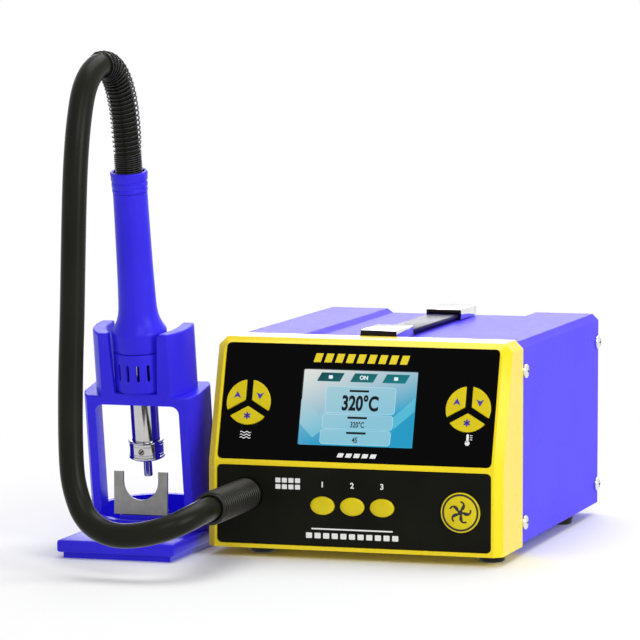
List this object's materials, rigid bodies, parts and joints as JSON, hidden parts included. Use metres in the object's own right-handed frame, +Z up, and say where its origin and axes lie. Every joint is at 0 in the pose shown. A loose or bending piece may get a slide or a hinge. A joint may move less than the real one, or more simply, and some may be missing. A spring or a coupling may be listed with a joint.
{
  "type": "hot-air rework station",
  "caption": "Hot-air rework station: boxy console with leaning display front, side-mounted handpiece stand, handpiece with nozzle on a hose that loops up to it.",
  "frame": {"origin": "middle of the footprint of the console and stand on the table, the hose left out", "axes": "+X to the console's right, +Y towards its rear, +Z up"},
  "size_m": [0.2752, 0.3765, 0.3119],
  "materials": {
    "case_paint": "satin",
    "bezel_plastic": "satin",
    "gloss_panel": "gloss",
    "lower_panel": "textured",
    "screen_glass": "gloss",
    "key_plastic": "satin",
    "rubber": "satin",
    "bright_metal": "polished",
    "plate_steel": "brushed",
    "black_plastic": "satin",
    "stand_plastic": "satin",
    "board": "satin",
    "ceramic": "matte"
  },
  "bodies": {
    "console": {"front_bezel": "bezel_plastic", "upper_panel": "gloss_panel", "lower_panel": "lower_panel", "display_glass": "screen_glass", "display_module": "plate_steel", "front_badge": "bezel_plastic", "case_cover": "case_paint", "base_pan": "case_paint", "rear_panel": "case_paint", "foot_front_left": "rubber", "foot_front_right": "rubber", "foot_rear_left": "rubber", "foot_rear_right": "rubber", "screw_left_front_low": "bright_metal", "screw_left_front_high": "bright_metal", "screw_left_rear_low": "bright_metal", "screw_left_rear_high": "bright_metal", "screw_right_front_low": "bright_metal", "screw_right_front_high": "bright_metal", "screw_right_rear_low": "bright_metal", "screw_right_rear_high": "bright_metal", "handle_cap_front": "bright_metal", "handle_cap_rear": "bright_metal", "handle_strap": "rubber", "power_inlet": "black_plastic", "switch_frame": "black_plastic", "hose_sleeve": "rubber", "air_hose": "rubber", "hose_spring": "plate_steel", "main_board": "board", "key_board": "board", "channel_board": "board", "transformer": "plate_steel", "blower_housing": "black_plastic", "blower_motor": "plate_steel", "air_duct": "rubber", "stand_base": "stand_plastic", "stand_cradle": "stand_plastic", "nozzle_fork": "plate_steel", "fork_screw": "plate_steel"},
    "air_up_button": {"air_up_key": "key_plastic"},
    "air_down_button": {"air_down_key": "key_plastic"},
    "air_star_button": {"air_star_key": "key_plastic"},
    "temp_up_button": {"temp_up_key": "key_plastic"},
    "temp_down_button": {"temp_down_key": "key_plastic"},
    "temp_star_button": {"temp_star_key": "key_plastic"},
    "channel_key_1_button": {"channel_key_1": "key_plastic"},
    "channel_key_2_button": {"channel_key_2": "key_plastic"},
    "channel_key_3_button": {"channel_key_3": "key_plastic"},
    "rocker": {"power_rocker": "black_plastic"},
    "drawer": {"fuse_drawer": "black_plastic"},
    "fan": {"impeller": "plate_steel"},
    "handpiece": {"handpiece_grip": "stand_plastic", "end_ring": "stand_plastic", "vent_collar": "stand_plastic", "heater_tube": "bright_metal", "heater_core": "ceramic"},
    "nozzle_body": {"nozzle": "bright_metal"},
    "clamp": {"clamp_screw": "plate_steel"}
  },
  "joints": [
    {"name": "air_up_key_press", "type": "slide", "parent": "console", "child": "air_up_button", "axis": [0, 0.9558, -0.294], "range_m": [0, 0.0008], "stiffness_N_per_m": 400},
    {"name": "air_down_key_press", "type": "slide", "parent": "console", "child": "air_down_button", "axis": [0, 0.9558, -0.294], "range_m": [0, 0.0008], "stiffness_N_per_m": 400},
    {"name": "air_star_key_press", "type": "slide", "parent": "console", "child": "air_star_button", "axis": [0, 0.9558, -0.294], "range_m": [0, 0.0008], "stiffness_N_per_m": 400},
    {"name": "temp_up_key_press", "type": "slide", "parent": "console", "child": "temp_up_button", "axis": [0, 0.9558, -0.294], "range_m": [0, 0.0008], "stiffness_N_per_m": 400},
    {"name": "temp_down_key_press", "type": "slide", "parent": "console", "child": "temp_down_button", "axis": [0, 0.9558, -0.294], "range_m": [0, 0.0008], "stiffness_N_per_m": 400},
    {"name": "temp_star_key_press", "type": "slide", "parent": "console", "child": "temp_star_button", "axis": [0, 0.9558, -0.294], "range_m": [0, 0.0008], "stiffness_N_per_m": 400},
    {"name": "channel_key_1_press", "type": "slide", "parent": "console", "child": "channel_key_1_button", "axis": [0, 1, 0], "range_m": [0, 0.0008], "stiffness_N_per_m": 400},
    {"name": "channel_key_2_press", "type": "slide", "parent": "console", "child": "channel_key_2_button", "axis": [0, 1, 0], "range_m": [0, 0.0008], "stiffness_N_per_m": 400},
    {"name": "channel_key_3_press", "type": "slide", "parent": "console", "child": "channel_key_3_button", "axis": [0, 1, 0], "range_m": [0, 0.0008], "stiffness_N_per_m": 400},
    {"name": "power_rocker_tilt", "type": "hinge", "parent": "console", "child": "rocker", "pos_m": [0.0332, 0.16071, 0.042], "axis": [1, 0, 0], "range_deg": [0, 12]},
    {"name": "fuse_drawer_slide", "type": "slide", "parent": "console", "child": "drawer", "axis": [0, 1, 0], "range_m": [0, 0.017]},
    {"name": "impeller_spin", "type": "hinge", "parent": "console", "child": "fan", "pos_m": [-0.0016, 0.03071, 0.0392], "axis": [0, 0, 1], "continuous": true},
    {"name": "handpiece_lift", "type": "slide", "parent": "console", "child": "handpiece", "axis": [0, -0.1788, 0.9839], "range_m": [0, 0.1], "deforming": ["air_hose", "hose_spring"]},
    {"name": "nozzle_pull", "type": "slide", "parent": "handpiece", "child": "nozzle_body", "axis": [0, 0.1788, -0.9839], "range_m": [0, 0.012]},
    {"name": "clamp_screw_turn", "type": "hinge", "parent": "nozzle_body", "child": "clamp", "pos_m": [-0.0994, -0.07236, 0.0631], "axis": [0, -0.9839, -0.1788], "range_deg": [0, 360]}
  ]
}
